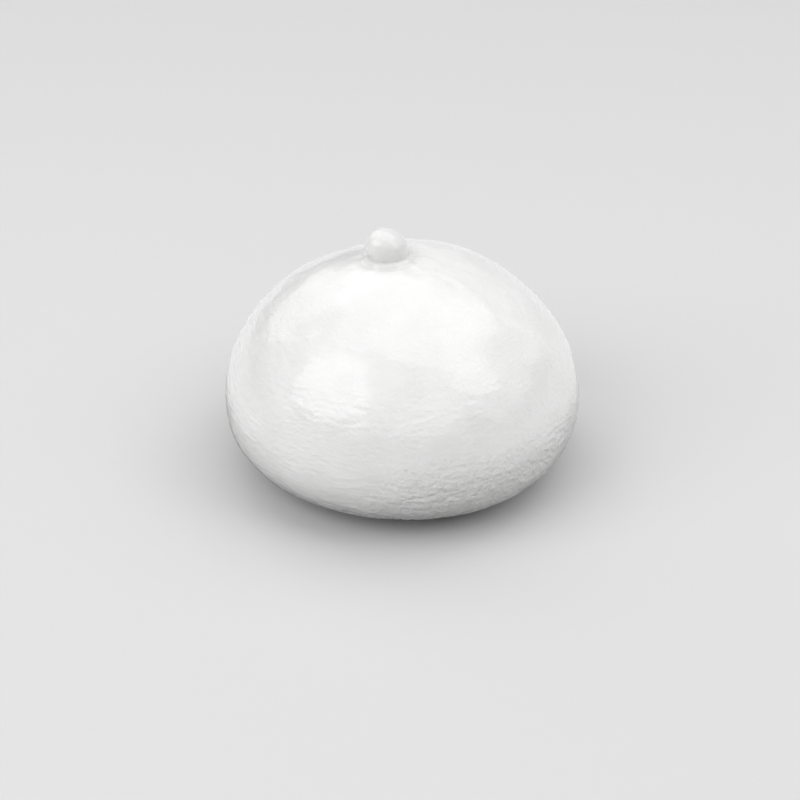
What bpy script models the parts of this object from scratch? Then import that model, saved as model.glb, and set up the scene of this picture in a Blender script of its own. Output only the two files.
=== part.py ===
"""Mozzarella ball: a soft dome of stretched curd with a small knob pinched up from its top.

Metres, +Z up. The origin is the middle of the flat spot that the ball rests on, and -Y is the front.
The whole ball is one turned solid, and a few functions then bend it: the knob is drawn off to one
side, the skin gathers in pleats round the neck, and broad swellings make the dome uneven.
"""

import math

import bpy
from mathutils import Vector
from mathutils.geometry import interpolate_bezier

NAME = "mozzarella_ball"

# The ball
BALL_RADIUS = 0.0440  # at its widest level
DOME_RISE = 0.0368  # from the widest level up to the crown
DOME_POWER = 1.95  # 2 is an ellipse, more is squarer
BELLY_DEPTH = 0.0204  # where the belly's curve would end if it weren't resting on anything
BELLY_POWER = 2.46
FLAT_RADIUS = 0.0265  # the spot that it rests on

# The knob, its neck and the collar of skin round it
KNOB_RADIUS = 0.00515
KNOB_HALF_HEIGHT = 0.0048
KNOB_CENTRE_RISE = 0.0025  # above the crown
KNOB_WRAP = math.radians(104)  # how far round the knob's outline goes before the neck starts
KNOB_LEAN = -0.27  # sideways for each unit up
NECK_RADIUS = 0.0049
NECK_RISE = 0.0004  # above the crown
NECK_DIP = 0.0003  # how far the neck's curve dips before it rises to the collar
COLLAR_RADIUS = 0.0058
COLLAR_RISE = 0.0006
COLLAR_WIDTH = 0.0008
COLLAR_TILT = 0.0003  # how much higher the collar stands on the side that the knob leans to
CREASE_RADIUS = 0.0069  # of the groove round the collar
CREASE_DEPTH = 0.0002
CREASE_WIDTH = 0.0007
KNOB_OFFSET = Vector((-0.0033, 0.0032))
OFFSET_REACH = (0.0085, 0.0260)  # the skin moves wholly inside the first, not at all past the second
FACET_DIRECTION = Vector((-0.83, 0.25, 0.47)).normalized()  # where a finger flattened the knob
FACET_DISTANCE = 0.0048  # from the knob's centre
FACET_PRESS = 0.8  # the share of what stood beyond it that is gone

# Pleats in the skin, running out from the neck
PLEATS = 9
PLEAT_DEPTH = 0.00015
PLEAT_REACH = 0.0070  # beyond the collar
PLEAT_UNEVENNESS = 0.8

# Broad swellings (+) and hollows (-) of the skin: direction from the front, height, amount, spread
SWELLINGS = (
    (math.radians(-114), 0.68, 0.00030, 0.34),
    (math.radians(-155), 0.73, -0.00070, 0.38),
    (math.radians(112), 0.62, -0.00035, 0.40),
    (math.radians(158), 0.72, 0.00030, 0.35),
    (math.radians(33), -0.35, 0.00070, 0.40),
    (math.radians(-12), -0.35, -0.00040, 0.30),
)

# How finely the shape is cut
TURN_STEPS = 72
KNOB_ROWS = 9
NECK_ROWS = 5
COLLAR_ROWS = 8
DOME_ROWS = 14
BELLY_ROWS = 8
AXIS_MERGE = 0.00001


def belly_drop(radius):
    """How far below the widest level the belly is at this distance from the axis."""
    return BELLY_DEPTH * (1 - (radius / BALL_RADIUS) ** BELLY_POWER) ** (1 / BELLY_POWER)


WIDEST_HEIGHT = belly_drop(FLAT_RADIUS)
CROWN_HEIGHT = WIDEST_HEIGHT + DOME_RISE


def dome_height(radius):
    inside = max(0.0, 1 - (radius / BALL_RADIUS) ** DOME_POWER)
    return WIDEST_HEIGHT + DOME_RISE * inside ** (1 / DOME_POWER)


def ring(radius, middle, width):
    """1 on a ring round the neck, fading to 0 on both sides of it."""
    return math.exp(-(((radius - middle) / width) ** 2))


def skin_height(radius):
    """The dome with the collar and the groove round it."""
    collar = COLLAR_RISE * ring(radius, COLLAR_RADIUS, COLLAR_WIDTH)
    crease = CREASE_DEPTH * ring(radius, CREASE_RADIUS, CREASE_WIDTH)
    return dome_height(radius) + collar - crease


def smooth_fade(value, start, end):
    """1 up to start, 0 from end on, and a smooth S between them."""
    t = min(1.0, max(0.0, (value - start) / (end - start)))
    return 1 - t * t * (3 - 2 * t)


def knob_outline():
    """From the knob's top round to where the neck starts, as (radius, height)."""
    centre = CROWN_HEIGHT + KNOB_CENTRE_RISE
    angles = [KNOB_WRAP * i / KNOB_ROWS for i in range(KNOB_ROWS + 1)]
    return [(KNOB_RADIUS * math.sin(a), centre + KNOB_HALF_HEIGHT * math.cos(a)) for a in angles]


def neck_outline(start):
    """From the underside of the knob down to the neck and out to the collar's crest."""
    crest = Vector((COLLAR_RADIUS, skin_height(COLLAR_RADIUS)))
    neck = Vector((NECK_RADIUS, CROWN_HEIGHT + NECK_RISE))
    start = Vector(start)
    below_knob = interpolate_bezier(
        start, start.lerp(neck, 0.6), neck.lerp(start, 0.1), neck, NECK_ROWS
    )
    to_crest = interpolate_bezier(
        neck, neck - Vector((0.0, NECK_DIP)), crest - Vector((NECK_DIP, 0.0)), crest, NECK_ROWS
    )
    return [tuple(point) for point in below_knob[1:] + to_crest[1:]]


def dome_outline():
    """From just outside the collar's crest down to the widest level."""
    reach = CREASE_RADIUS + 2 * CREASE_WIDTH
    collar = [COLLAR_RADIUS + (reach - COLLAR_RADIUS) * i / COLLAR_ROWS for i in range(1, COLLAR_ROWS + 1)]
    first = math.asin(reach / BALL_RADIUS)
    turns = [first + (math.pi / 2 - first) * i / DOME_ROWS for i in range(1, DOME_ROWS + 1)]
    radii = collar + [BALL_RADIUS * math.sin(turn) for turn in turns]
    return [(radius, skin_height(radius)) for radius in radii]


def belly_outline():
    """From the widest level down to the rim of the flat spot."""
    last = math.asin(FLAT_RADIUS / BALL_RADIUS)
    turns = [math.pi / 2 + (last - math.pi / 2) * i / BELLY_ROWS for i in range(1, BELLY_ROWS + 1)]
    radii = [BALL_RADIUS * math.sin(turn) for turn in turns]
    return [(radius, WIDEST_HEIGHT - belly_drop(radius)) for radius in radii]


def outline():
    """The ball's half section, from the top of the knob to the middle of the flat spot."""
    knob = knob_outline()
    return knob + neck_outline(knob[-1]) + dome_outline() + belly_outline() + [(0.0, 0.0)]


def draw_aside(point):
    """Carries the knob and its collar off to one side, down the slope of the dome."""
    radius = point.xy.length
    moved = point.xy + KNOB_OFFSET * smooth_fade(radius, *OFFSET_REACH)
    lift = dome_height(moved.length) - dome_height(radius)
    return Vector((moved.x, moved.y, point.z + lift))


def lean_knob(point):
    """Tips the knob over its neck, more with height. Only the knob is above the crown and the collar."""
    above = max(0.0, point.z - CROWN_HEIGHT - COLLAR_RISE)
    return Vector((point.x + KNOB_LEAN * above, point.y, point.z))


def gather(point):
    """Height of the pleats, and of the collar's higher side, at a point of the plain turned skin."""
    radius = point.xy.length
    if point.z > dome_height(radius) + 1.5 * COLLAR_RISE:
        return 0.0
    angle = math.atan2(point.y, point.x)
    wave = math.cos(PLEATS * angle + PLEAT_UNEVENNESS * math.sin(2 * angle + 0.7))
    wave += 0.5 * math.cos((PLEATS + 4) * angle + 1.9)
    past_neck = 1 - smooth_fade(radius, NECK_RADIUS, COLLAR_RADIUS)
    reach = smooth_fade(radius, COLLAR_RADIUS, COLLAR_RADIUS + PLEAT_REACH)
    return (PLEAT_DEPTH * wave - COLLAR_TILT * math.cos(angle)) * past_neck * reach


def swelling(point):
    """How far the skin stands out or in at a point, from the broad swellings."""
    middle = Vector((0.0, 0.0, WIDEST_HEIGHT))
    direction = (point - middle).normalized()
    total = 0.0
    for around, height, amount, spread in SWELLINGS:
        level = math.sqrt(1 - height * height)
        towards = Vector((level * math.sin(around), -level * math.cos(around), height))
        total += amount * math.exp(-((direction - towards).length / spread) ** 2)
    return total * direction


def flatten_facet(point):
    """Presses one side of the knob to a facet."""
    centre = Vector((*KNOB_OFFSET, CROWN_HEIGHT + KNOB_CENTRE_RISE))
    beyond = (point - centre).dot(FACET_DIRECTION) - FACET_DISTANCE
    if beyond <= 0 or (point - centre).length > 1.3 * KNOB_RADIUS:
        return point
    return point - FACET_DIRECTION * beyond * FACET_PRESS


def shape_skin(turned):
    """Where a point of the plain turned ball ends up. The flat spot stays flat."""
    above_flat = 1 - smooth_fade(turned.z, 0.0, WIDEST_HEIGHT / 2)
    swollen = turned + swelling(turned) * above_flat
    if turned.z < WIDEST_HEIGHT:
        return swollen
    swollen.z += gather(turned)
    return flatten_facet(draw_aside(lean_knob(swollen)))


def turned_mesh():
    """The outline spun round the axis, as a plain mesh."""
    profile = bpy.data.meshes.new("outline")
    points = [(radius, 0.0, height) for radius, height in outline()]
    profile.from_pydata(points, [(i, i + 1) for i in range(len(points) - 1)], [])
    spinner = bpy.data.objects.new("spinner", profile)
    bpy.context.scene.collection.objects.link(spinner)
    screw = spinner.modifiers.new("Turn", "SCREW")
    screw.axis = "Z"
    screw.steps = TURN_STEPS
    screw.render_steps = TURN_STEPS
    screw.use_merge_vertices = True
    screw.merge_threshold = AXIS_MERGE
    evaluated = spinner.evaluated_get(bpy.context.evaluated_depsgraph_get())
    mesh = bpy.data.meshes.new_from_object(evaluated)
    bpy.data.objects.remove(spinner)
    bpy.data.meshes.remove(profile)
    return mesh


def cheese_material():
    material = bpy.data.materials.new("fresh_cheese")
    material.use_nodes = True
    shader = material.node_tree.nodes["Principled BSDF"]
    shader.inputs["Base Color"].default_value = (0.86, 0.86, 0.85, 1.0)
    shader.inputs["Roughness"].default_value = 0.3
    shader.inputs["Metallic"].default_value = 0.0
    shader.inputs["Subsurface Weight"].default_value = 0.4
    shader.inputs["Subsurface Scale"].default_value = 0.004
    return material


def make_ball(collection):
    mesh = turned_mesh()
    mesh.name = NAME
    for vertex in mesh.vertices:
        vertex.co = shape_skin(vertex.co.copy())
    mesh.materials.clear()
    mesh.materials.append(cheese_material())
    mesh.shade_smooth()
    mesh.set_sharp_from_angle(angle=math.radians(50))
    collection.objects.link(bpy.data.objects.new(NAME, mesh))


def main():
    for old in list(bpy.data.objects):
        bpy.data.objects.remove(old)
    collection = bpy.data.collections.new("Mozzarella ball")
    bpy.context.scene.collection.children.link(collection)
    make_ball(collection)


main()
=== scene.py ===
import math

import bpy
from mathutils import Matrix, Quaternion, Vector
from mathutils.geometry import interpolate_bezier


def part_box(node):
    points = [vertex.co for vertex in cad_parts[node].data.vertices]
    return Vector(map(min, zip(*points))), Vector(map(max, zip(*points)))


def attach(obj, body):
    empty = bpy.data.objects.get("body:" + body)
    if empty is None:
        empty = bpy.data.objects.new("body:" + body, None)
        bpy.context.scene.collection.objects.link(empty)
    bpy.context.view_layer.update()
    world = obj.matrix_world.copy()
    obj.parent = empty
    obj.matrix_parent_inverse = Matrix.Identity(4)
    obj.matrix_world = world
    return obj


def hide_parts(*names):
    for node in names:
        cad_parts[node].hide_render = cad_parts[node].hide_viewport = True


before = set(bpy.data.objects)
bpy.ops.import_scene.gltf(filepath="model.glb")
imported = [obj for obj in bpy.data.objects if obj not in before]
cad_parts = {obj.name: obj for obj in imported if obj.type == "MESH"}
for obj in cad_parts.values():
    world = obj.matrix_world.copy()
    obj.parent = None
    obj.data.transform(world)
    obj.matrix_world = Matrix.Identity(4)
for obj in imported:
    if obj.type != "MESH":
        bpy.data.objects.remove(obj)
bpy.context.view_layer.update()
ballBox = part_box("mozzarella_ball")
ballRadius = (ballBox[1].x - ballBox[0].x) / 2
print("frame loaded, ball radius", round(ballRadius, 4))

# Sizes of the turned form, as shares of the ball's radius. Heights count from the widest level
ball = {
    "domeRise": 0.836,
    "domePower": 1.95,
    "bellyDepth": 0.4636,
    "bellyPower": 2.46,
    "flatRadius": 0.6023,
    "knobRadius": 0.117,
    "knobHalfHeight": 0.109,
    "knobRise": 0.0568,        # its centre above the crown
    "knobWrap": math.radians(104),
    "knobLean": -0.27,         # sideways for each unit up
    "neckRadius": 0.1114,
    "neckRise": 0.0091,
    "neckDip": 0.0068,
    "collarRadius": 0.1295,
    "collarRise": 0.0136,
    "collarWidth": 0.0150,
    "collarTilt": 0.0068,
    "creaseRadius": 0.1500,
    "creaseDepth": 0.0046,
    "creaseWidth": 0.0125,
    "creaseInFront": 0.0060,   # how much deeper it is on the front side
    "knobPlace": Vector((-0.075, 0.0727)),
    "placeReach": (0.193, 0.59),
    "facetTowards": Vector((-0.83, 0.25, 0.47)).normalized(),
    "facetDistance": 0.109,
    "facetPress": 0.9,
    "facetSoftness": 0.008,
    "pleats": 9,
    "pleatDepth": 0.0020,
    "pleatReach": 0.16,
    "pleatDrift": 0.8,         # how unevenly they are spaced
    "outlinePoints": 40,       # on each stretch of the outline
    "cutsAcross": 112,         # points along the edges of the cube that the ball is blown up from
    "cutsDown": 168,
}

# Broad swellings and hollows: degrees round from the front, height, amount, spread
swellings = [
    (-114, 0.68, 0.0068, 0.34),
    (-155, 0.73, -0.016, 0.38),
    (112, 0.62, -0.008, 0.40),
    (158, 0.72, 0.0068, 0.35),
    (33, -0.35, 0.016, 0.40),
    (-12, -0.35, -0.009, 0.30),
]


def bellyDrop(radius):
    return ball["bellyDepth"] * (1 - radius ** ball["bellyPower"]) ** (1 / ball["bellyPower"])


widest = bellyDrop(ball["flatRadius"])  # height of the widest level above the flat spot
crown = widest + ball["domeRise"]


def domeHeight(radius):
    inside = max(0.0, 1 - radius ** ball["domePower"])
    return widest + ball["domeRise"] * inside ** (1 / ball["domePower"])


def ring(radius, middle, width):
    return math.exp(-((radius - middle) / width) ** 2)


def skinHeight(radius):
    collar = ball["collarRise"] * ring(radius, ball["collarRadius"], ball["collarWidth"])
    crease = ball["creaseDepth"] * ring(radius, ball["creaseRadius"], ball["creaseWidth"])
    return domeHeight(radius) + collar - crease


def fade(value, start, end):
    t = min(1.0, max(0.0, (value - start) / (end - start)))
    return 1 - t * t * (3 - 2 * t)


def steps(start, end, count):
    return [start + (end - start) * i / count for i in range(1, count + 1)]


# The half section, from the top of the knob down to the middle of the flat spot
def ballOutline():
    n = ball["outlinePoints"]
    knobMiddle = crown + ball["knobRise"]
    points = [(0.0, knobMiddle + ball["knobHalfHeight"])]
    for turn in steps(0, ball["knobWrap"], n):
        across = ball["knobRadius"] * math.sin(turn)
        points.append((across, knobMiddle + ball["knobHalfHeight"] * math.cos(turn)))
    start = Vector(points[-1])
    neck = Vector((ball["neckRadius"], crown + ball["neckRise"]))
    crest = Vector((ball["collarRadius"], skinHeight(ball["collarRadius"])))
    under = interpolate_bezier(start, start.lerp(neck, 0.6), neck.lerp(start, 0.1), neck, 12)
    dip = ball["neckDip"]
    up = interpolate_bezier(neck, neck - Vector((0, dip)), crest - Vector((dip, 0)), crest, 12)
    points += [tuple(p) for p in under[1:] + up[1:]]
    collarEnd = ball["creaseRadius"] + 3 * ball["creaseWidth"]
    points += [(r, skinHeight(r)) for r in steps(ball["collarRadius"], collarEnd, n)]
    for turn in steps(math.asin(collarEnd), math.pi / 2, 3 * n):
        points.append((math.sin(turn), domeHeight(math.sin(turn))))
    for turn in steps(math.pi / 2, math.asin(ball["flatRadius"]), 2 * n):
        points.append((math.sin(turn), widest - bellyDrop(math.sin(turn))))
    points.append((0.0, 0.0))
    mesh = bpy.data.meshes.new("ballOutline")
    mesh.from_pydata([(r * ballRadius, 0, z * ballRadius) for r, z in points],
                     [(i, i + 1) for i in range(len(points) - 1)], [])
    outline = bpy.data.objects.new("ballOutline", mesh)
    bpy.context.scene.collection.objects.link(outline)
    return outline


# Node helpers: a value is a number, a vector or another node's socket
def addNode(tree, kind, inputs=None, **settings):
    node = tree.nodes.new(kind)
    count = len(tree.nodes)
    node.location = (count % 14 * 190, -(count // 14) * 320)
    for name, value in settings.items():
        setattr(node, name, value)
    for name, value in (inputs or {}).items():
        if isinstance(value, bpy.types.NodeSocket):
            tree.links.new(value, node.inputs[name])
        else:
            node.inputs[name].default_value = value
    return node


def calc(tree, operation, *values, clamp=False):
    inputs = dict(enumerate(values))
    return addNode(tree, "ShaderNodeMath", inputs, operation=operation, use_clamp=clamp).outputs[0]


def vectorCalc(tree, operation, *values, result="Vector"):
    inputs = dict(enumerate(values))
    return addNode(tree, "ShaderNodeVectorMath", inputs, operation=operation).outputs[result]


def smoothStep(tree, value, start, end, low=0.0, high=1.0):
    inputs = {"Value": value, "From Min": start, "From Max": end, "To Min": low, "To Max": high}
    return addNode(tree, "ShaderNodeMapRange", inputs, interpolation_type="SMOOTHSTEP").outputs[0]


def makeGeometryTree(name, sockets):
    tree = bpy.data.node_groups.new(name, "GeometryNodeTree")
    tree.interface.new_socket("Geometry", in_out="OUTPUT", socket_type="NodeSocketGeometry")
    tree.interface.new_socket("Geometry", in_out="INPUT", socket_type="NodeSocketGeometry")
    for label, kind in sockets.items():
        tree.interface.new_socket(label, in_out="INPUT", socket_type=kind)
    return tree, addNode(tree, "NodeGroupInput").outputs


def closeGeometryTree(tree, geometry, material):
    real = addNode(tree, "GeometryNodeRealizeInstances", {"Geometry": geometry})
    final = addNode(tree, "GeometryNodeSetMaterial", {"Geometry": real.outputs[0], "Material": material})
    addNode(tree, "NodeGroupOutput", {"Geometry": final.outputs[0]})


# Runs a tree on an object and leaves a plain mesh
def applyTree(obj, tree, values):
    modifier = obj.modifiers.new(tree.name, "NODES")
    modifier.node_group = tree
    for item in tree.interface.items_tree:
        if item.in_out == "INPUT" and item.name in values:
            modifier[item.identifier] = values[item.name]
    evaluated = obj.evaluated_get(bpy.context.evaluated_depsgraph_get())
    mesh = bpy.data.meshes.new_from_object(evaluated)
    obj.modifiers.remove(modifier)
    old = obj.data
    obj.data = mesh
    bpy.data.meshes.remove(old)


# Blows a cube up to a ball, then lays each point on the outline: even cells and no pole
def turnedTree():
    tree, given = makeGeometryTree("turned ball", {
        "Outline": "NodeSocketObject", "Cuts Across": "NodeSocketInt", "Cuts Down": "NodeSocketInt",
        "Material": "NodeSocketMaterial"})
    cube = addNode(tree, "GeometryNodeMeshCube", {
        "Size": (2, 2, 2), "Vertices X": given["Cuts Across"], "Vertices Y": given["Cuts Across"],
        "Vertices Z": given["Cuts Down"]})
    position = addNode(tree, "GeometryNodeInputPosition").outputs[0]
    scaled = vectorCalc(tree, "MULTIPLY", position, (math.pi / 4,) * 3)
    onSphere = vectorCalc(tree, "NORMALIZE", vectorCalc(tree, "TANGENT", scaled))
    parts = addNode(tree, "ShaderNodeSeparateXYZ", {0: onSphere}).outputs
    down = calc(tree, "DIVIDE", calc(tree, "ARCCOSINE", parts["Z"]), math.pi)
    share = addNode(tree, "ShaderNodeFloatCurve", {"Value": down})
    curve = share.mapping.curves[0]
    curve.points[0].location = (0, 0)
    curve.points[-1].location = (1, 1)
    for spot in ((0.225, 0.14), (0.377, 0.354), (0.593, 0.574), (0.876, 0.789)):  # finest low down
        curve.points.new(*spot)
    share.mapping.update()
    outline = addNode(tree, "GeometryNodeObjectInfo", {"Object": given["Outline"]})
    path = addNode(tree, "GeometryNodeMeshToCurve", {"Mesh": outline.outputs["Geometry"]})
    sample = addNode(tree, "GeometryNodeSampleCurve", {
        "Curves": path.outputs[0], "Factor": share.outputs[0]}, mode="FACTOR")
    onOutline = addNode(tree, "ShaderNodeSeparateXYZ", {0: sample.outputs["Position"]}).outputs
    flat = addNode(tree, "ShaderNodeCombineXYZ", {"X": parts["X"], "Y": parts["Y"]}).outputs[0]
    around = addNode(tree, "ShaderNodeVectorMath", {
        0: vectorCalc(tree, "NORMALIZE", flat), "Scale": onOutline["X"]}, operation="SCALE").outputs[0]
    height = addNode(tree, "ShaderNodeCombineXYZ", {"Z": onOutline["Z"]}).outputs[0]
    placed = addNode(tree, "GeometryNodeSetPosition", {
        "Geometry": cube.outputs["Mesh"], "Position": vectorCalc(tree, "ADD", around, height)})
    closeGeometryTree(tree, placed.outputs[0], given["Material"])
    return tree


# The hand-made unevenness of the form, in shares of the radius
def swelling(point):
    direction = (point - Vector((0, 0, widest))).normalized()
    total = 0.0
    for around, height, amount, spread in swellings:
        level = math.sqrt(1 - height * height)
        turn = math.radians(around)
        towards = Vector((level * math.sin(turn), -level * math.cos(turn), height))
        total += amount * math.exp(-((direction - towards).length / spread) ** 2)
    return total * direction


def gather(point):
    radius = point.xy.length
    if point.z > domeHeight(radius) + 1.5 * ball["collarRise"]:
        return 0.0
    angle = math.atan2(point.y, point.x)
    wave = math.cos(ball["pleats"] * angle + ball["pleatDrift"] * math.sin(2 * angle + 0.7))
    wave += 0.5 * math.cos((ball["pleats"] + 4) * angle + 1.9)
    pastNeck = 1 - fade(radius, ball["neckRadius"], ball["collarRadius"])
    reach = fade(radius, ball["collarRadius"], ball["collarRadius"] + ball["pleatReach"])
    crease = ball["creaseInFront"] * ring(radius, ball["creaseRadius"], ball["creaseWidth"])
    folds = (ball["pleatDepth"] * wave - ball["collarTilt"] * math.cos(angle)) * pastNeck * reach
    return folds - crease * max(0.0, -math.sin(angle)) ** 2


def drawAside(point):
    radius = point.xy.length
    moved = point.xy + ball["knobPlace"] * fade(radius, *ball["placeReach"])
    lift = domeHeight(moved.length) - domeHeight(radius)
    return Vector((moved.x, moved.y, point.z + lift))


def leanKnob(point):
    above = max(0.0, point.z - crown - ball["collarRise"])
    return Vector((point.x + ball["knobLean"] * above, point.y, point.z))


def pressFacet(point):
    middle = Vector((*ball["knobPlace"], crown + ball["knobRise"]))
    beyond = (point - middle).dot(ball["facetTowards"]) - ball["facetDistance"]
    if beyond <= 0 or (point - middle).length > 1.3 * ball["knobRadius"]:
        return point
    share = ball["facetPress"] * beyond / (beyond + ball["facetSoftness"])
    return point - ball["facetTowards"] * beyond * share


def shapeSkin(mesh):
    for vertex in mesh.vertices:
        turned = vertex.co / ballRadius
        point = turned + swelling(turned) * (1 - fade(turned.z, 0, widest / 2))
        if turned.z >= widest:
            point.z += gather(turned)
            point = pressFacet(drawAside(leanKnob(point)))
        vertex.co = point * ballRadius


# Relief of the skin, in metres
skin = {
    "Lump Size": 0.012,
    "Lump Height": 0.00035,
    "Wrinkle Length": 0.0040,
    "Wrinkle Spacing": 0.0010,
    "Wrinkle Height": 0.00014,
    "Crease Length": 0.0060,
    "Crease Spacing": 0.0022,
    "Crease Depth": 0.00003,
    "Crepe Size": 0.0012,
    "Crepe Height": 0.00003,
    "Ridge Length": 0.0016,
    "Ridge Spacing": 0.0010,
    "Ridge Height": 0.00032,
    "Dent Length": 0.0060,
    "Dent Spacing": 0.0022,
    "Dent Height": 0.00020,
    "Fringe Length": 0.0010,
    "Fringe Grain": 0.0008,
    "Fringe Height": 0.00045,
    "Seed": 4.0,
}
# Where each relief comes in, in metres: from where it is least, to where it is at its fullest
zones = {
    "wrinkleHeights": (0.046, 0.034),
    "wrinkleLeft": (-0.012, -0.028),
    "wrinkleRight": (0.026, -0.004),
    "rightSide": (-0.018, 0.011),
    "ridgeHeights": (0.029, 0.016),
    "dentHeights": (0.026, 0.014),
    "dentSide": (-0.030, 0.010),
    "fringeTops": (0.010, 0.020),    # at the far left and at the far right
    "fringeBottom": 0.004,
    "offTheFlatSpot": (0.0, 0.0015),
    "knobRound": (0.0090, 0.0052),   # from the knob's axis
    "knobHeights": (0.040, 0.050),
    # Painted shade on the knob: where it grows, from the knob's left edge towards its right
    "knobShade": (-0.0085, -0.0025),
}
# How much there is at the lesser end, and at the fuller end where that isn't all of it
shares = {
    "wrinkledHigh": 0.12,
    "wrinkledRight": 0.5,
    "wrinkledLeft": 0.8,
    "dentedLeft": 0.35,
    # Painted shade on the knob: how much at its left edge, and right of its middle
    "knobShade": (0.3, 1.15),
    "valleyWidth": 0.055,      # of a crease, in the noise's own units
}


def skinTree():
    sockets = {label: "NodeSocketFloat" for label in skin}
    sockets["Material"] = "NodeSocketMaterial"
    tree, given = makeGeometryTree("curd skin", sockets)
    position = addNode(tree, "GeometryNodeInputPosition").outputs[0]
    parts = addNode(tree, "ShaderNodeSeparateXYZ", {0: position}).outputs
    height = parts["Z"]

    # Noise from 0 to 1, each cell as long and as tall as told
    def noise(long, tall, detail, turn):
        size = addNode(tree, "ShaderNodeCombineXYZ", {"X": long, "Y": long, "Z": tall}).outputs[0]
        seeds = addNode(tree, "ShaderNodeCombineXYZ", {"X": given["Seed"], "Y": turn}).outputs[0]
        spot = vectorCalc(tree, "ADD", vectorCalc(tree, "DIVIDE", position, size), seeds)
        cloud = {"Vector": spot, "Scale": 1.0, "Detail": detail, "Roughness": 0.55, "Distortion": 0.5}
        return addNode(tree, "ShaderNodeTexNoise", cloud).outputs[0]

    def unevenness(long, tall, amount, detail, turn):
        aboutZero = calc(tree, "SUBTRACT", noise(long, tall, detail, turn), 0.5)
        return calc(tree, "MULTIPLY", aboutZero, calc(tree, "MULTIPLY", amount, 2.0))

    # Narrow valleys along the lines where the noise crosses its middle value
    def creases(long, tall, depth, turn):
        offLine = calc(tree, "ABSOLUTE", calc(tree, "SUBTRACT", noise(long, tall, 1.0, turn), 0.5))
        valley = smoothStep(tree, offLine, 0.0, shares["valleyWidth"], -1.0, 0.0)
        return calc(tree, "MULTIPLY", valley, depth)

    lumps = unevenness(given["Lump Size"], given["Lump Size"], given["Lump Height"], 1.0, 0.0)
    wrinkles = unevenness(given["Wrinkle Length"], given["Wrinkle Spacing"],
                          given["Wrinkle Height"], 1.0, 3.0)
    folds = creases(given["Crease Length"], given["Crease Spacing"], given["Crease Depth"], 5.0)
    low = smoothStep(tree, height, *zones["wrinkleHeights"], shares["wrinkledHigh"], 1.0)
    lessOnTheRight = smoothStep(tree, parts["X"], *zones["wrinkleRight"], shares["wrinkledRight"], 1.0)
    leftSide = smoothStep(tree, parts["X"], *zones["wrinkleLeft"], 0.0, shares["wrinkledLeft"])
    wrinkled = calc(tree, "MAXIMUM", calc(tree, "MULTIPLY", low, lessOnTheRight), leftSide)
    crepe = unevenness(given["Crepe Size"], given["Crepe Size"], given["Crepe Height"], 1.0, 7.0)
    ridges = unevenness(given["Ridge Length"], given["Ridge Spacing"], given["Ridge Height"], 1.5, 11.0)
    rightSide = smoothStep(tree, parts["X"], *zones["rightSide"])
    ridged = calc(tree, "MULTIPLY", smoothStep(tree, height, *zones["ridgeHeights"]), rightSide)
    dents = unevenness(given["Dent Length"], given["Dent Spacing"], given["Dent Height"], 1.0, 23.0)
    dented = calc(tree, "MULTIPLY", smoothStep(tree, height, *zones["dentHeights"]),
                  smoothStep(tree, parts["X"], *zones["dentSide"], shares["dentedLeft"], 1.0))
    fringe = unevenness(given["Fringe Length"], given["Fringe Grain"], given["Fringe Height"], 1.5, 17.0)
    leftTop, rightTop = zones["fringeTops"]
    fringeTop = addNode(tree, "ShaderNodeMapRange", {
        "Value": rightSide, "To Min": leftTop, "To Max": rightTop}).outputs[0]
    fringed = smoothStep(tree, height, fringeTop, zones["fringeBottom"])
    total = calc(tree, "ADD", lumps, crepe)
    total = calc(tree, "MULTIPLY_ADD", calc(tree, "ADD", wrinkles, folds), wrinkled, total)
    total = calc(tree, "MULTIPLY_ADD", ridges, ridged, total)
    total = calc(tree, "MULTIPLY_ADD", dents, dented, total)
    total = calc(tree, "MULTIPLY_ADD", fringe, fringed, total)
    total = calc(tree, "MULTIPLY", total, smoothStep(tree, height, *zones["offTheFlatSpot"]))
    normal = addNode(tree, "GeometryNodeInputNormal").outputs[0]
    offset = addNode(tree, "ShaderNodeVectorMath", {0: normal, "Scale": total}, operation="SCALE")
    moved = addNode(tree, "GeometryNodeSetPosition", {
        "Geometry": given["Geometry"], "Offset": offset.outputs[0]})
    # Painted shade on the knob: a share that darkens its colour, least at its left edge and most on its
    # right side
    knobAxis = ball["knobPlace"] * ballRadius
    level = addNode(tree, "ShaderNodeCombineXYZ", {"X": parts["X"], "Y": parts["Y"]}).outputs[0]
    fromKnob = vectorCalc(tree, "DISTANCE", level, (knobAxis.x, knobAxis.y, 0), result="Value")
    knobPaintedShadeShare = calc(tree, "MULTIPLY", smoothStep(tree, fromKnob, *zones["knobRound"]),
                     smoothStep(tree, height, *zones["knobHeights"]))
    shade = smoothStep(tree, parts["X"], *zones["knobShade"], *shares["knobShade"])
    knobPaintedShadeShare = calc(tree, "MULTIPLY", knobPaintedShadeShare, shade)
    geometry = moved.outputs[0]
    # The ridged share also sets where painted shade darkens the colour on the lower right, besides its
    # roughness and coat; the knob's share is painted shade only
    for name, value in {"fringe": ridged, "knob": knobPaintedShadeShare, "wrinkled": wrinkled}.items():
        stored = addNode(tree, "GeometryNodeStoreNamedAttribute", {
            "Geometry": geometry, "Name": name, "Value": value}, data_type="FLOAT", domain="POINT")
        geometry = stored.outputs[0]
    closeGeometryTree(tree, geometry, given["Material"])
    return tree


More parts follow.
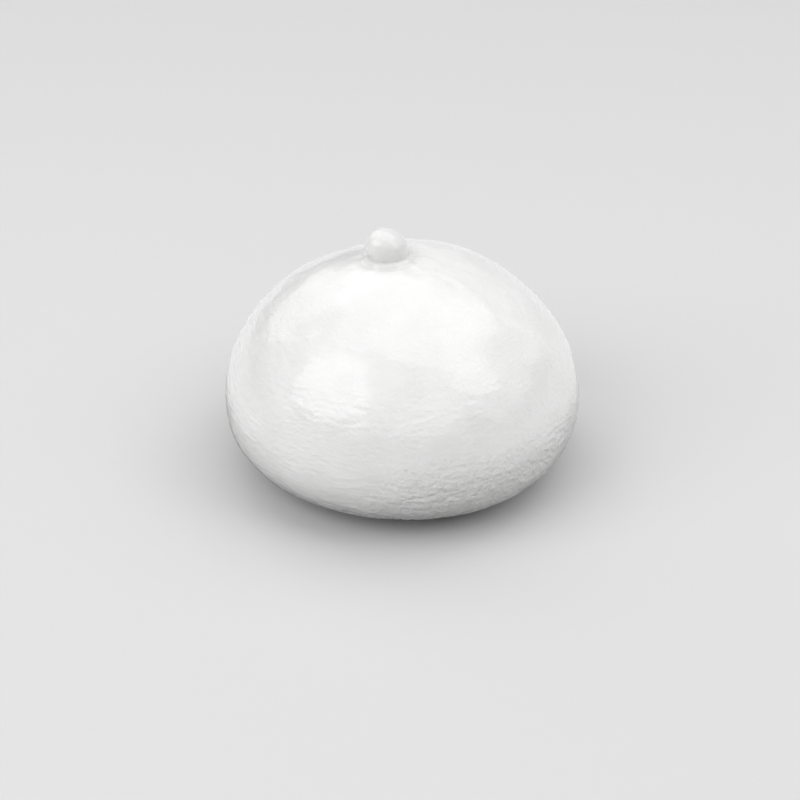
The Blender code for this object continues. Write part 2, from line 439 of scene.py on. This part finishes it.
# Soft cloudiness, 0 to 1, shared by the curd and the paper under it
def mottleGroup():
    group = bpy.data.node_groups.new("mottle", "ShaderNodeTree")
    group.interface.new_socket("Place", in_out="INPUT", socket_type="NodeSocketVector")
    group.interface.new_socket("Scale", in_out="INPUT", socket_type="NodeSocketFloat")
    group.interface.new_socket("Detail", in_out="INPUT", socket_type="NodeSocketFloat")
    group.interface.new_socket("Mottle", in_out="OUTPUT", socket_type="NodeSocketFloat")
    given = addNode(group, "NodeGroupInput").outputs
    cloud = addNode(group, "ShaderNodeTexNoise", {
        "Vector": given["Place"], "Scale": given["Scale"], "Detail": given["Detail"]})
    spread = smoothStep(group, cloud.outputs[0], 0.3, 0.7)
    addNode(group, "NodeGroupOutput", {"Mottle": spread})
    return group


def addMottle(tree, group, place, scale, detail):
    inputs = {"Place": place, "Scale": scale, "Detail": detail}
    return addNode(tree, "ShaderNodeGroup", inputs, node_tree=group).outputs["Mottle"]


# Wet milk-white curd
curd = {
    "colour": (0.90, 0.90, 0.895, 1.0),
    "cloudColour": (0.86, 0.86, 0.855, 1.0),
    "cloudScale": 90.0,
    # Painted shade: the knob's colour is darkened, most on its right side, away from the lights
    "knobPaintedShade": (0.82, 0.82, 0.815, 1.0),
    # Painted shade: the ridged lower right of the ball is coloured darker
    "fringePaintedShade": (0.79, 0.79, 0.785, 1.0),
    "roughness": 0.42,
    "fringeRoughness": 0.62,
    "fringeCoat": 0.35,
    "milkiness": 0.35,
    "glow": 0.0012,            # how far light travels inside, in metres
    "coatRoughness": 0.13,
    "coatIOR": 1.48,
    "grainScale": 1100.0,
    "grainDepth": 0.00006,
    "wrinkleScale": 430.0,
    "wrinkleFlatness": 2.4,    # how much shorter they are upwards than along
    "wrinkleDepth": 0.00006,
    "fringeGrainScale": 700.0,
    "fringeGrainDepth": 0.0003,
}


def curdMaterial(mottle):
    material = bpy.data.materials.new("freshCurd")
    material.use_nodes = True
    tree = material.node_tree
    shader = tree.nodes["Principled BSDF"]
    place = addNode(tree, "ShaderNodeTexCoord").outputs["Object"]
    clouds = addMottle(tree, mottle, place, curd["cloudScale"], 3.0)
    tint = addNode(tree, "ShaderNodeValToRGB", {"Fac": clouds})
    tint.color_ramp.elements[0].color = curd["cloudColour"]
    tint.color_ramp.elements[1].color = curd["colour"]
    fringe = addNode(tree, "ShaderNodeAttribute", attribute_name="fringe").outputs["Fac"]
    knob = addNode(tree, "ShaderNodeAttribute", attribute_name="knob").outputs["Fac"]
    colour = tint.outputs[0]
    # Painted shade: the ridged lower right and the knob are mixed to darker greys
    for share, name in ((fringe, "fringePaintedShade"), (knob, "knobPaintedShade")):
        inputs = {"Factor": share, 6: colour, 7: curd[name]}
        colour = addNode(tree, "ShaderNodeMix", inputs, data_type="RGBA").outputs[2]
    tree.links.new(colour, shader.inputs["Base Color"])
    dryness = {"To Min": curd["roughness"], "To Max": curd["fringeRoughness"], "Value": fringe}
    tree.links.new(addNode(tree, "ShaderNodeMapRange", dryness).outputs[0], shader.inputs["Roughness"])
    wetness = {"To Min": 1.0, "To Max": curd["fringeCoat"], "Value": fringe}
    tree.links.new(addNode(tree, "ShaderNodeMapRange", wetness).outputs[0], shader.inputs["Coat Weight"])
    shader.inputs["Subsurface Weight"].default_value = curd["milkiness"]
    shader.inputs["Subsurface Radius"].default_value = (1.0, 1.0, 1.0)
    shader.inputs["Subsurface Scale"].default_value = curd["glow"]
    shader.inputs["Coat Roughness"].default_value = curd["coatRoughness"]
    shader.inputs["Coat IOR"].default_value = curd["coatIOR"]
    grain = addMottle(tree, mottle, place, curd["grainScale"], 3.0)
    fringeGrain = addMottle(tree, mottle, place, curd["fringeGrainScale"], 2.0)
    flattened = addNode(tree, "ShaderNodeMapping", {
        "Vector": place, "Scale": (1, 1, curd["wrinkleFlatness"])})
    wrinkles = addMottle(tree, mottle, flattened.outputs[0], curd["wrinkleScale"], 1.5)
    wrinkled = addNode(tree, "ShaderNodeAttribute", attribute_name="wrinkled").outputs["Fac"]
    relief = calc(tree, "MULTIPLY", grain, curd["grainDepth"])
    fine = ((wrinkled, wrinkles, "wrinkleDepth"), (fringe, fringeGrain, "fringeGrainDepth"))
    for share, pattern, depth in fine:
        masked = calc(tree, "MULTIPLY", share, pattern)
        relief = calc(tree, "MULTIPLY_ADD", masked, curd[depth], relief)
    bump = addNode(tree, "ShaderNodeBump", {"Height": relief, "Strength": 1.0, "Distance": 1.0})
    tree.links.new(bump.outputs[0], shader.inputs["Normal"])
    return material


def makeBall(mottle):
    outline = ballOutline()
    material = curdMaterial(mottle)
    piece = bpy.data.objects.new("mozzarellaBall", bpy.data.meshes.new("start"))
    bpy.context.scene.collection.objects.link(piece)
    cuts = {"Cuts Across": ball["cutsAcross"], "Cuts Down": ball["cutsDown"]}
    applyTree(piece, turnedTree(), {"Outline": outline, "Material": material, **cuts})
    bpy.data.objects.remove(outline)
    print("turned form:", len(piece.data.vertices), "points")
    shapeSkin(piece.data)
    applyTree(piece, skinTree(), {**skin, "Material": material})
    piece.data.name = "mozzarellaBall"
    piece.data.shade_smooth()
    print("skin relief done:", len(piece.data.polygons), "faces")
    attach(piece, "root")
    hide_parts("mozzarella_ball")
    return piece


# Studio: where each light stands, in degrees round from the front and above the table
studio = {
    "paperShown": 0.70,        # how pale the floor looks
    "paperBounce": 0.80,       # how much light it throws back up
    "nearBounce": 0.28,        # the same right round the ball, as on a dark dish
    "nearReach": (0.058, 0.078),
    "paperScale": 300.0,
    "paperDullness": (0.75, 0.85),
    "floorSize": 3.2,
    "roomShown": 0.80,
    "roomLight": 0.13,
}
lamps = {
    "ceiling": {"around": 161, "up": 74, "far": 0.83, "size": (1.19, 1.01), "turn": 0, "power": 4.1},
    "backLeft": {"around": -140, "up": 31, "far": 0.85, "size": (0.58, 0.54), "turn": 0, "power": 0.95},
    "backdrop": {"around": 156, "up": 16, "far": 1.20, "size": (1.40, 0.78), "turn": 0, "power": 1.9},
    "leftBox": {"around": -61, "up": 39, "far": 0.80, "size": (0.76, 0.62), "turn": 36, "power": 2.5},
    "leftLow": {"around": -65, "up": 14, "far": 1.10, "size": (1.00, 0.50), "turn": 0, "power": 0.4},
    "front": {"around": 0, "up": 42, "far": 1.10, "size": (1.30, 0.80), "turn": 0, "power": 2.45},
    "frontLow": {"around": 10, "up": 12, "far": 1.10, "size": (1.40, 0.45), "turn": 0, "power": 0.15},
    "rightCard": {"around": 65, "up": 43, "far": 0.80, "size": (0.40, 0.38), "turn": 0, "power": 0.65},
    "right": {"around": 90, "up": 42, "far": 0.95, "size": (1.20, 1.00), "turn": 0, "power": 2.4},
    "rightRim": {"around": 112, "up": 12, "far": 1.00, "size": (0.70, 0.40), "turn": 0, "power": 0.21},
}
roundLamps = ("leftBox", "rightCard")


def lightStudio():
    middle = Vector((0, 0, widest * ballRadius))
    for name, lamp in lamps.items():
        around, up = math.radians(lamp["around"]), math.radians(lamp["up"])
        level = math.cos(up)
        towards = Vector((math.sin(around) * level, -math.cos(around) * level, math.sin(up)))
        light = bpy.data.lights.new(name, "AREA")
        light.shape = "ELLIPSE" if name in roundLamps else "RECTANGLE"
        light.size, light.size_y = lamp["size"]
        light.energy = lamp["power"]
        lightObject = bpy.data.objects.new(name, light)
        lightObject.location = middle + towards * lamp["far"]
        turn = Quaternion((0, 0, 1), math.radians(lamp["turn"]))
        lightObject.rotation_euler = (towards.to_track_quat("Z", "Y") @ turn).to_euler()
        lightObject.visible_camera = False
        bpy.context.scene.collection.objects.link(lightObject)


# One grey where the camera sees it, another for the light that it gives
def shownAndGiven(tree, shown, given, socket):
    seen = addNode(tree, "ShaderNodeLightPath").outputs["Is Camera Ray"]
    grey = addNode(tree, "ShaderNodeMapRange", {"Value": seen, "To Min": given, "To Max": shown}).outputs[0]
    tree.links.new(grey, socket)


def makeFloor(mottle):
    mesh = bpy.data.meshes.new("floor")
    half = studio["floorSize"] / 2
    corners = [(-half, -half, 0), (half, -half, 0), (half, half, 0), (-half, half, 0)]
    mesh.from_pydata(corners, [], [(0, 1, 2, 3)])
    floor = bpy.data.objects.new("floor", mesh)
    bpy.context.scene.collection.objects.link(floor)
    material = bpy.data.materials.new("floorPaper")
    material.use_nodes = True
    tree = material.node_tree
    shader = tree.nodes["Principled BSDF"]
    place = addNode(tree, "ShaderNodeTexCoord").outputs["Object"]
    away = vectorCalc(tree, "LENGTH", place, result="Value")
    bounce = smoothStep(tree, away, *studio["nearReach"], studio["nearBounce"], studio["paperBounce"])
    shownAndGiven(tree, studio["paperShown"], bounce, shader.inputs["Base Color"])
    fibres = addMottle(tree, mottle, place, studio["paperScale"], 4.0)
    least, most = studio["paperDullness"]
    dull = addNode(tree, "ShaderNodeMapRange", {"Value": fibres, "To Min": least, "To Max": most})
    tree.links.new(dull.outputs[0], shader.inputs["Roughness"])
    mesh.materials.append(material)


def makeRoom():
    world = bpy.data.worlds.new("room")
    world.use_nodes = True
    background = world.node_tree.nodes["Background"]
    background.inputs["Strength"].default_value = 1.0
    shownAndGiven(world.node_tree, studio["roomShown"], studio["roomLight"], background.inputs["Color"])
    bpy.context.scene.world = world
    bpy.context.scene.view_settings.view_transform = "Standard"


# Looks along +Y and down on the ball
camera = {"up": 32.0, "far": 12.8, "lens": 101.4, "aside": 0.0118, "below": 0.051}


def makeCamera():
    up = math.radians(camera["up"])
    forward = Vector((0, math.cos(up), -math.sin(up)))
    upwards = Vector((0, math.sin(up), math.cos(up)))
    aim = Vector((0, 0, widest)) - Vector((camera["aside"], 0, 0)) - upwards * camera["below"]
    data = bpy.data.cameras.new("camera")
    data.lens = camera["lens"]
    data.clip_start = 0.01
    cameraObject = bpy.data.objects.new("camera", data)
    cameraObject.location = (aim - forward * camera["far"]) * ballRadius
    cameraObject.rotation_euler = (math.pi / 2 - up, 0, 0)
    bpy.context.scene.collection.objects.link(cameraObject)
    bpy.context.scene.camera = cameraObject


mottle = mottleGroup()
makeBall(mottle)
lightStudio()
makeFloor(mottle)
makeRoom()
makeCamera()
print("studio ready")
